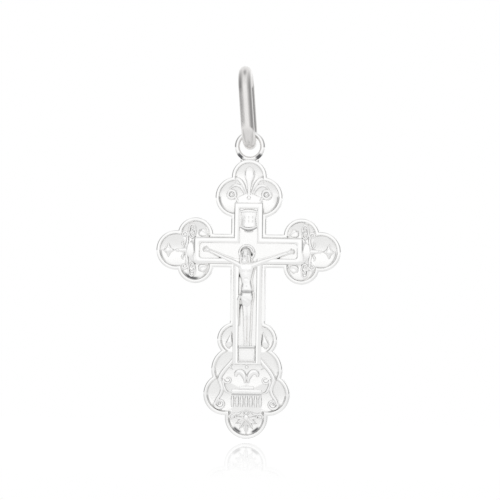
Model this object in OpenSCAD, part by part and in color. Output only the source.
// Budded cross pendant with a relief figure, an eyelet ring and an oval bail.
// X runs along the arms, Z up the shaft, and the decorated face looks along -Y.
// The origin is where a chain lies: the middle of the bail's inside top. The cross hangs plumb
// below it, and the bail leans a little to the left, as a chain holds it.

/* [Cross outline] */
// Middle of the cross to the end of either arm
arm_reach = 10; // [9.2:0.1:13]
// Middle of the cross to the top of the head
head_reach = 9.9; // [9:0.1:13]
// Middle of the cross to the tip of the foot
foot_reach = 20.3; // [18:0.1:26]
// Width of the shaft
shaft_w = 3.8; // [3.5:0.1:4.6]
// Width of the arms
arm_w = 3.64; // [3.3:0.1:4.4]
// Radius of the lobe at the end of each arm
arm_tip_r = 2.15; // [1.8:0.05:2.5]
// Radius of the two side lobes of each arm
arm_side_r = 1.95; // [1.6:0.05:2.3]
// Radius of the topmost lobe
head_tip_r = 1.9; // [1.6:0.05:2.2]
// Radius of the two side lobes of the head
head_side_r = 2.2; // [1.9:0.05:2.5]
// Radius of the lowest lobe
foot_tip_r = 2.3; // [1.9:0.05:2.6]

/* [Thicknesses] */
// Thickness of the back plate
plate_t = 0.7; // [0.5:0.05:1.2]
// Width of the raised border
border_w = 0.42; // [0.3:0.02:0.6]
// Height of the raised border above the plate
border_h = 0.45; // [0.3:0.05:0.8]
// Height of the smooth inner frame above the plate
frame_h = 0.6; // [0.4:0.05:0.9]
// Height of the ornaments above the plate
ornament_h = 0.4; // [0.25:0.05:0.8]

/* [Inner cross] */
// Width of the upright channel that the figure hangs in
channel_w = 1.86; // [1.6:0.02:2.1]
// Width of the channel along the arms
channel_arm_w = 1.6; // [1.3:0.02:1.8]
// Width of the smooth frame beside the channel
frame_w = 0.62; // [0.45:0.02:0.7]
// Width of the smooth frame across the channel's head and arm ends
frame_end_w = 0.66; // [0.4:0.02:0.7]
// Width of the smooth frame below the channel's foot
frame_foot_w = 0.3; // [0.2:0.02:0.6]
// From the end of either arm in to the end of the channel
channel_end_in = 4.75; // [4.5:0.05:5.2]

/* [Figure] */
// Thickness of the figure's trunk above the plate
figure_t = 1.15; // [0.8:0.05:1.6]
// Outer radius of the nimbus
nimbus_r = 0.9; // [0.7:0.02:0.92]

/* [Eyelet and bail] */
// Diameter of the eyelet's hole
eyelet_hole_d = 2.2; // [1.9:0.05:2.8]
// Radial thickness of the eyelet's wire
eyelet_wire_t = 0.55; // [0.4:0.05:0.8]
// Depth of the eyelet's wire, front to back
eyelet_depth = 0.75; // [0.56:0.05:1]
// Diameter of the bail's wire
bail_wire_d = 1.45; // [1.1:0.05:1.7]
// Height of the bail over all
bail_height = 9.1; // [8:0.1:12]
// Depth of the bail over all
bail_depth = 5; // [4.6:0.1:7]
// How far the bail leans to the left of plumb, in degrees
bail_lean = 4.5; // [0:0.5:10]

/* [Hidden] */

silver = "silver";
arc_fn = 64;             // fineness of arcs; the solids keep true curves
wire_clearance = 0.04;   // gap between the bail's wire and the eyelet's hole where the cross hangs
seat_gap = 0.03;         // gap between the eyelet and its solder seat, which turns about it
relief_gap = 0.05;       // least room between two raised pieces that don't touch

// depths, positive towards the front
back_d = -0.6;
ground_d = back_d + plate_t;
frame_d = ground_d + frame_h;
ornament_d = ground_d + ornament_h;

// bail and eyelet places, from the chain's seat down
bail_inner_h = bail_height - 2 * bail_wire_d;
bail_bend_r = (bail_depth - bail_wire_d) / 2;       // of the wire's centre line
bail_drop = bail_inner_h + bail_wire_d / 2;         // from the chain's seat to the low wire's centre
hang_x = bail_drop * sin(bail_lean);                // the plumb line that the eyelet and cross hang on
bail_low_z = -bail_drop * cos(bail_lean);
eyelet_z = bail_low_z - (eyelet_hole_d - bail_wire_d) / 2 + wire_clearance;
eyelet_r = eyelet_hole_d / 2 + eyelet_wire_t;
head_lap = 0.25;                                    // how far the head rises into the eyelet's outline
cross_z = eyelet_z - eyelet_r + head_lap - head_reach;

// lobes: [across, up, radius] on the right-hand side, from the middle of the cross
arm_side_in = 4.25;                                 // from the arm's end to its side lobes' middle
arm_side_v = 1.62;
arm_lobes = [[arm_reach - arm_tip_r, 0, arm_tip_r],
             [arm_reach - arm_side_in, arm_side_v, arm_side_r],
             [arm_reach - arm_side_in, -arm_side_v, arm_side_r]];
head_lobes = [[0, head_reach - head_tip_r, head_tip_r],
              [1.44, head_reach - 4.1, head_side_r]];
foot_lobes = [[1.35, 10.7 - foot_reach, 1.9],
              [1.3, 7.45 - foot_reach, 2.55],
              [2.4, 4.8 - foot_reach, 2.27],
              [0, foot_tip_r - foot_reach, foot_tip_r]];
head_neck_in = 3;                                   // from the head's top to where the shaft's bar ends
arm_neck_in = 4;                                    // from the arm's end to where the arm's bar ends
foot_neck_v = 9 - foot_reach;                       // where the shaft's bar ends among the foot's lobes
lobes = concat(arm_lobes, head_lobes, foot_lobes);

channel_top = head_reach - 5.36;
channel_reach = arm_reach - channel_end_in;
channel_foot = 8.3 - foot_reach;
frame_half = channel_w / 2 + frame_w;
arm_frame_half = channel_arm_w / 2 + frame_w;
seat_from = 0.78;                                   // where each fillet of solder starts beside the middle
seat_w = 0.27;
block_h = 1.5;
rest_v = channel_foot + block_h;                    // top of the block, where the foot rest sits
rest_t = 0.3;
rest_h = 0.95;                                      // how far the foot rest stands off the plate
block_out = 0.5;                                    // how far the block below it stands off the plate
title_h = 0.42;
nimbus_h = 0.45;
nail_h = 0.75;
room_h = 6;                                         // more than any depth, for cutting right through
title_half = 0.9;                                   // from the title scroll's middle to its rolled edges
title_roll_r = 0.24;
title_v = channel_top - 1.35;                       // middle of the title scroll
head_v = -0.5;                                      // middle of the figure's head
nimbus_v = head_v + 0.2;
nimbus_w = 0.28;
crown_v = head_reach - 3.95;                        // middle of the head's two volutes
arm_mark = arm_reach - 3.8;                         // middle of each arm's oval boss
base_v = 3.55 - foot_reach;                         // middle of the foot's two large volutes
bead_r = 0.22;

// ---------- outline and curve helpers ----------

module mirror_pair() {
    children();
    mirror([1, 0, 0]) children();
}

// draws a flat shape in the cross's own plane and raises it between two depths
module raised(from_d, to_d) {
    translate([hang_x, 0, cross_z]) rotate([90, 0, 0]) translate([0, 0, from_d])
        linear_extrude(to_d - from_d) children();
}

module lobe(l, inset) {
    translate([l[0], l[1]]) circle(r = l[2] - inset, $fn = arc_fn);
}

module bar(half_w, low, high) {
    translate([-half_w, low]) square([2 * half_w, high - low]);
}

// the whole silhouette, drawn in from its edge by inset
module outline(inset = 0) {
    arm_bar = arm_reach - arm_neck_in;
    bar(shaft_w / 2 - inset, foot_neck_v, head_reach - head_neck_in);
    translate([-arm_bar, -arm_w / 2 + inset]) square([2 * arm_bar, arm_w - 2 * inset]);
    bar(foot_tip_r - inset, foot_tip_r - foot_reach, foot_neck_v + 0.2);
    mirror_pair() for (l = lobes) lobe(l, inset);
}

// the upright and cross-piece of a plain cross
module plain_cross(half_w, half_arm_w, low, high, reach) {
    bar(half_w, low, high);
    translate([-reach, -half_arm_w]) square([2 * reach, 2 * half_arm_w]);
}

function mix(a, b, t) = a + (b - a) * t;
// a smooth curve through hand-set points
function bend(a, b, c, d, t) = 0.5 * (2 * b + (c - a) * t + (2 * a - 5 * b + 4 * c - d) * t * t
                                      + (3 * b - a - 3 * c + d) * t * t * t);
function curve(p, n) = [for (i = [0 : len(p) - 2]) for (k = [0 : n - 1])
        bend(p[max(i - 1, 0)], p[i], p[i + 1], p[min(i + 2, len(p) - 1)], k / n), p[len(p) - 1]];
function way(a, b) = (b - a) / norm(b - a);
function across(c, i) = let (w = way(c[max(i - 1, 0)], c[min(i + 1, len(c) - 1)])) [-w[1], w[0]];
// a curl that winds in from radius r0 to r1 between two angles
function curl(mid, r0, r1, a0, a1, n) = [for (i = [0 : n])
        mid + mix(r0, r1, i / n) * [cos(mix(a0, a1, i / n)), sin(mix(a0, a1, i / n))]];

// a ribbon along a line of points, tapering from one width to another, and to a point at its ends
module ribbon(c, w0, w1) {
    n = len(c) - 1;
    function half(i) = mix(w0, w1, i / n) / 2 * min(1, 0.35 + 4 * min(i, n - i) / n);
    polygon(concat([for (i = [0 : n]) c[i] + half(i) * across(c, i)],
                   [for (i = [n : -1 : 0]) c[i] - half(i) * across(c, i)]));
}

// a spear-shaped petal that points up from the origin
module lance(length, half_w) {
    side = curve([[0.12, 0], [0.14, length * 0.35], [0.6 * half_w, length * 0.62],
                  [half_w, length * 0.83], [0.55 * half_w, length * 0.94], [0, length]], 4);
    polygon(concat(side, [for (i = [len(side) - 2 : -1 : 0]) [-side[i][0], side[i][1]]]));
}

// a ring with a boss in it, as the end of a scroll
module volute(r, w) {
    difference() {
        circle(r = r, $fn = arc_fn);
        circle(r = r - w, $fn = arc_fn);
    }
    translate([-0.15 * r, -0.1 * r]) circle(r = 0.38 * r, $fn = arc_fn);
    translate([-r + w / 2, -0.1 * r]) square([r * 0.7, 0.2 * r]);
}

// ---------- bail and eyelet ----------

module wire_bend() {
    rotate_extrude(angle = 180, $fn = arc_fn)
        translate([bail_bend_r, 0]) circle(d = bail_wire_d, $fn = arc_fn);
}

module bail() {
    straight = bail_height - bail_depth;
    color(silver) rotate([0, -bail_lean, 0]) translate([0, 0, bail_bend_r - bail_drop])
        rotate([90, 0, 90]) union() {
            translate([0, straight, 0]) wire_bend();
            rotate([0, 0, 180]) wire_bend();
            for (s = [-1, 1]) translate([s * bail_bend_r, 0, 0]) rotate([-90, 0, 0])
                cylinder(d = bail_wire_d, h = straight, $fn = arc_fn);
        }
}

module eyelet_ring() {
    flat = (eyelet_depth - eyelet_wire_t) / 2;
    mid = (eyelet_hole_d + eyelet_wire_t) / 2;
    color(silver) translate([hang_x, 0, eyelet_z]) rotate([90, 0, 0]) rotate_extrude($fn = arc_fn) union() {
        for (s = [-1, 1]) translate([mid, s * flat]) circle(d = eyelet_wire_t, $fn = arc_fn);
        translate([mid - eyelet_wire_t / 2, -flat]) square([eyelet_wire_t, 2 * flat]);
    }
}

// the cylinder that the cross's solder seat and head are cut back to
module eyelet_room() {
    translate([hang_x, 0, eyelet_z]) rotate([90, 0, 0])
        cylinder(r = eyelet_r + seat_gap, h = room_h, center = true, $fn = arc_fn);
}

// the two fillets of solder between the eyelet and the head
module eyelet_seat() {
    color(silver) difference() {
        raised(-eyelet_depth / 2, eyelet_depth / 2) mirror_pair()
            translate([seat_from, head_reach - 0.6]) square([seat_w, 0.6]);
        eyelet_room();
        back_stock();
        rim_stock();
    }
}

// ---------- plate, border and frame ----------

module back_stock() {
    raised(back_d, ground_d) outline();
}

module rim_stock() {
    raised(ground_d, ground_d + border_h) outline();
}

module back_plate() {
    color(silver) difference() {
        back_stock();
        eyelet_room();
    }
}

module frame_area() {
    plain_cross(frame_half, arm_frame_half, channel_foot - frame_foot_w, channel_top + frame_end_w,
                channel_reach + frame_end_w);
}

module border_rim() {
    color(silver) difference() {
        raised(ground_d, ground_d + border_h) difference() {
            outline();
            outline(border_w);
            frame_area();
        }
        eyelet_room();
    }
}

module frame_stock() {
    raised(ground_d, frame_d) difference() {
        frame_area();
        plain_cross(channel_w / 2, channel_arm_w / 2, channel_foot, channel_top, channel_reach);
    }
}

module inner_frame() {
    color(silver) frame_stock();
}

// ---------- the figure and what is round it ----------

module title_scroll() {
    half = channel_w / 2 - 0.15;
    color(silver) {
        raised(ground_d, ground_d + title_h) bar(half, title_v - title_half, title_v + title_half);
        for (s = [-1, 1])
            translate([hang_x - half, -ground_d - title_roll_r, cross_z + title_v + s * title_half])
            rotate([0, 90, 0]) cylinder(r = title_roll_r, h = 2 * half, $fn = arc_fn);
    }
}

module nimbus() {
    color(silver) raised(ground_d, ground_d + nimbus_h) translate([0, nimbus_v]) difference() {
        circle(r = nimbus_r, $fn = arc_fn);
        circle(r = nimbus_r - nimbus_w, $fn = arc_fn);
    }
}

module ball(u, v, d, r) {
    translate([hang_x + u, -ground_d - d, cross_z + v]) sphere(r = r, $fn = 20);
}

// a limb between two [u, v, depth above the plate, radius] balls
module limb(a, b) {
    hull() {
        ball(a[0], a[1], a[2], a[3]);
        ball(b[0], b[1], b[2], b[3]);
    }
}

// a height on the figure, from 0 at the middle of the head to 1 at the foot rest
function body_v(t) = mix(head_v, rest_v, t);
// [across, up, depth above the plate, radius] at the figure's joints, on the right-hand side
hand = [channel_reach - 0.67, 0.05, 0.42, 0.22];
shoulder = [0.78, head_v - 0.92, 0.55, 0.3];
hip = [0.36, body_v(0.44), 0.55, 0.4];
knee = [0.36, body_v(0.64), 0.62, 0.3];
ankle = [0.2, rest_v + 0.8, 0.42, 0.22];
waist_v = body_v(0.29);
nail_r = 0.1;

function flip(b) = [-b[0], b[1], b[2], b[3]];

module trunk_and_limbs() {
    chest_v = shoulder[1] - 0.35;
    limb([0, head_v, 0.65, 0.5], [0, head_v - 0.35, 0.65, 0.35]);
    limb([0, head_v - 0.4, 0.6, 0.3], [0, chest_v, 0.55, 0.4]);
    limb([-0.45, chest_v, 0.55, 0.42], [0.45, chest_v, 0.55, 0.42]);
    limb([0, chest_v - 0.15, 0.55, 0.6], [0, waist_v, 0.5, 0.45]);
    limb([0, waist_v, 0.5, 0.45], [0, hip[1], 0.5, 0.5]);
    limb(flip(hip), hip);
    for (pair = [[shoulder, hand], [hip, knee], [knee, ankle]]) {
        limb(pair[0], pair[1]);
        limb(flip(pair[0]), flip(pair[1]));
    }
    for (s = [-1, 1]) limb([s * ankle[0], ankle[1], ankle[2], ankle[3]],
                           [s * ankle[0], rest_v + rest_t + 0.2, 0.55, 0.2]);
}

// the nails' places: both hands and both feet, as [across, up]
nails = [for (s = [-1, 1]) each [[s * hand[0], hand[1]], [s * ankle[0], rest_v + rest_t + 0.3]]];

module nail_set(r, top) {
    for (p = nails) translate([hang_x + p[0], -ground_d, cross_z + p[1]]) rotate([90, 0, 0])
        cylinder(r = r, h = top, $fn = 24);
}

module corpus() {
    color(silver) difference() {
        intersection() {
            trunk_and_limbs();
            raised(ground_d, ground_d + figure_t) intersection() {
                bar(channel_reach, rest_v + rest_t, channel_top);
                frame_area();
            }
        }
        raised(ground_d - 1, ground_d + nimbus_h + relief_gap) translate([0, nimbus_v]) difference() {
            circle(r = nimbus_r + relief_gap, $fn = arc_fn);
            circle(r = nimbus_r - nimbus_w - relief_gap, $fn = arc_fn);
        }
        frame_stock();
        nail_set(nail_r + 0.02, figure_t + 1);
    }
}

module nail_heads() {
    color(silver) nail_set(nail_r, nail_h);
}

module foot_rest() {
    color(silver) raised(ground_d, ground_d + rest_h)
        bar(channel_w / 2 - relief_gap, rest_v, rest_v + rest_t);
}

module foot_block() {
    color(silver) raised(ground_d, ground_d + block_out)
        bar(channel_w / 2 - relief_gap, channel_foot + relief_gap, rest_v);
}

// ---------- ornaments of the head and arms ----------

// everything that is raised as an ornament stays off the border, the frame and the eyelet
module ornament() {
    color(silver) raised(ground_d, ornament_d) difference() {
        intersection() {
            children();
            outline(border_w + relief_gap);
        }
        plain_cross(frame_half + relief_gap, arm_frame_half + relief_gap,
                    channel_foot - frame_foot_w - relief_gap, channel_top + frame_end_w + relief_gap,
                    channel_reach + frame_end_w + relief_gap);
    }
}

module crown_fleur() {
    ornament() {
        translate([0, crown_v + 0.25]) lance(2.95, 0.52);
        mirror_pair() ribbon(curve([[0.1, crown_v + 0.3], [0.35, crown_v + 1.0], [0.85, crown_v + 1.65],
                                    [1.35, crown_v + 1.72], [1.62, crown_v + 1.3]], 5), 0.3, 0.34);
    }
}

module crown_scrolls() {
    ornament() mirror_pair() {
        translate([1.9, crown_v]) volute(0.52, 0.2);
        ribbon(curve([[0.3, crown_v - 0.1], [0.8, crown_v + 0.75], [1.3, crown_v + 1.05],
                      [1.85, crown_v + 0.42]], 5), 0.3, 0.24);
    }
}

// side +1 is the right arm and -1 the left
module on_arm(side) {
    ornament() mirror([side < 0 ? 1 : 0, 0, 0]) translate([arm_mark, 0]) children();
}

module arm_fleur() {
    translate([0.62, 0]) rotate(-90) lance(2.5, 0.62);
    difference() {
        oval(0.4, 0.9);
        oval(0.2, 0.68);
    }
    oval(0.11, 0.45);
}

// an upright oval made of two arcs
module oval(half_w, half_h) {
    r = (half_h * half_h + half_w * half_w) / (2 * half_w);
    intersection_for (s = [-1, 1]) translate([s * (r - half_w), 0]) circle(r = r, $fn = arc_fn);
}

module arm_scrolls() {
    for (s = [-1, 1]) mirror([0, s < 0 ? 1 : 0, 0]) {
        translate([0.05, 1.82]) volute(0.62, 0.22);
        translate([-1.35, 1.85]) leaf(0.95, 0.42);
        ribbon(curve([[0.55, 0.85], [1.05, 1.2], [1.5, 0.95], [1.3, 0.45]], 5), 0.26, 0.2);
    }
}

// a pointed leaf that stands upright
module leaf(length, half_w) {
    side = curve([[0, -length / 2], [half_w, -length * 0.3], [half_w * 0.55, length * 0.15],
                  [0, length / 2]], 4);
    polygon(concat(side, [for (i = [len(side) - 2 : -1 : 1]) [-side[i][0], side[i][1]]]));
}

module left_arm_fleur() { on_arm(-1) arm_fleur(); }
module right_arm_fleur() { on_arm(1) arm_fleur(); }
module left_arm_scrolls() { on_arm(-1) arm_scrolls(); }
module right_arm_scrolls() { on_arm(1) arm_scrolls(); }

// ---------- ornaments of the foot ----------

module side_leaves() {
    ornament() mirror_pair() translate([2.12, base_v + 7.15]) rotate(-4) leaf(1.75, 0.36);
}

// half of the lyre's band, from beside the frame down to the large volute
lyre_line = [[1.72, base_v + 5.7], [1.75, base_v + 4.9], [2.35, base_v + 4.1], [2.95, base_v + 3.1],
             [2.85, base_v + 2.1], [2.75, base_v + 1.2], [3.2, base_v + 0.35]];

module foot_lyre() {
    ornament() mirror_pair() {
        ribbon(curve(lyre_line, 4), 0.36, 0.42);
        translate([2.85, base_v - 0.05]) volute(0.62, 0.24);
    }
}

module foot_fleur() {
    ornament() mirror_pair() ribbon(curve([[0.08, base_v + 2.4], [0.16, base_v + 3.15], [0.45, base_v + 3.7],
                                          [0.88, base_v + 3.84], [1.22, base_v + 3.4]], 5), 0.26, 0.3);
}

module foot_scrolls() {
    ornament() mirror_pair() {
        ribbon(curl([1.85, base_v + 2.45], 0.6, 0.2, 200, -190, 20), 0.26, 0.16);
        ribbon(curve([[1.35, base_v + 2.2], [1.5, base_v + 1.5], [2.0, base_v + 0.95]], 5), 0.26, 0.3);
    }
}

module foot_tablet() {
    reeds = 7;
    ornament() for (i = [0 : reeds - 1])
        translate([mix(-1.5, 1.5, i / (reeds - 1)) - 0.13, base_v - 0.45]) square([0.26, 1.35]);
}

module foot_shell() {
    ornament() {
        for (a = [-70, -46, -23, 0, 23, 46, 70])
            translate([0, base_v - 1.05]) rotate(180 + a) lance(2.2 - abs(a) / 100, 0.3);
        translate([0, base_v - 1.1]) circle(r = 0.34, $fn = arc_fn);
    }
}

module beads() {
    color(silver) for (v = [crown_v - 0.33, base_v + 4.18])
        difference() {
            ball(0, v, 0, bead_r);
            raised(back_d - 1, ground_d) translate([0, v]) circle(r = 2 * bead_r, $fn = 24);
        }
}

bail();
eyelet_ring();
eyelet_seat();
back_plate();
border_rim();
inner_frame();
title_scroll();
nimbus();
corpus();
nail_heads();
foot_rest();
foot_block();
crown_fleur();
crown_scrolls();
left_arm_fleur();
right_arm_fleur();
left_arm_scrolls();
right_arm_scrolls();
side_leaves();
foot_lyre();
foot_fleur();
foot_scrolls();
foot_tablet();
foot_shell();
beads();
